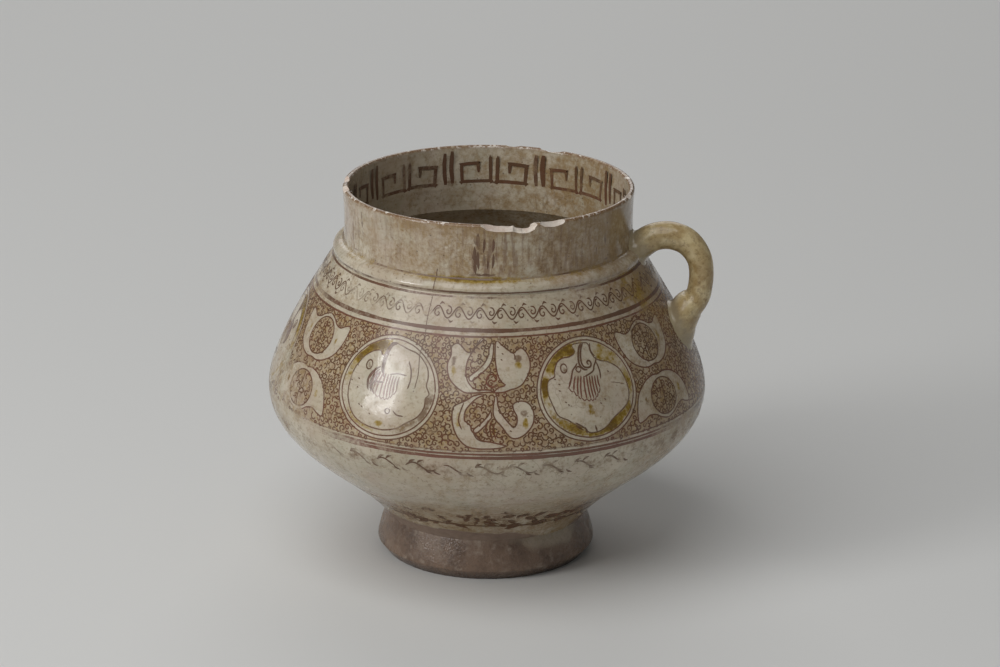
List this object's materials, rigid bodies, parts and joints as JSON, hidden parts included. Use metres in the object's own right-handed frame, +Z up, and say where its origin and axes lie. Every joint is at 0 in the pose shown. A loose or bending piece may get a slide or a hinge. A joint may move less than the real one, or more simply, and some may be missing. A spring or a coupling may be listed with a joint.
{
  "type": "lustreware pot",
  "caption": "Squat wide-bellied glazed pottery jar with a straight open neck on a raised cordon, a turned foot ring and a looped finger handle, painted in brown lustre.",
  "frame": {"origin": "on the resting plane, at the middle of the jar and its handle together; the turning axis stands 1.17 mm behind it on -X", "axes": "+Z up along the turning axis, +X from the jar towards the middle of the handle, +Y completing a right-handed frame"},
  "size_m": [0.1636, 0.1612, 0.14],
  "materials": {
    "bare_clay": "unglazed fired clay, worn and stained, purple brown",
    "body_glaze": "glossy opaque cream grey glaze with brown lustre painting",
    "handle_glaze": "glossy yellowish glaze with worn lustre"
  },
  "bodies": {
    "root": {"foot_ring": "bare_clay", "lower_body": "body_glaze", "upper_body": "body_glaze", "neck": "body_glaze", "neck_cordon": "body_glaze", "handle": "handle_glaze"}
  },
  "joints": []
}
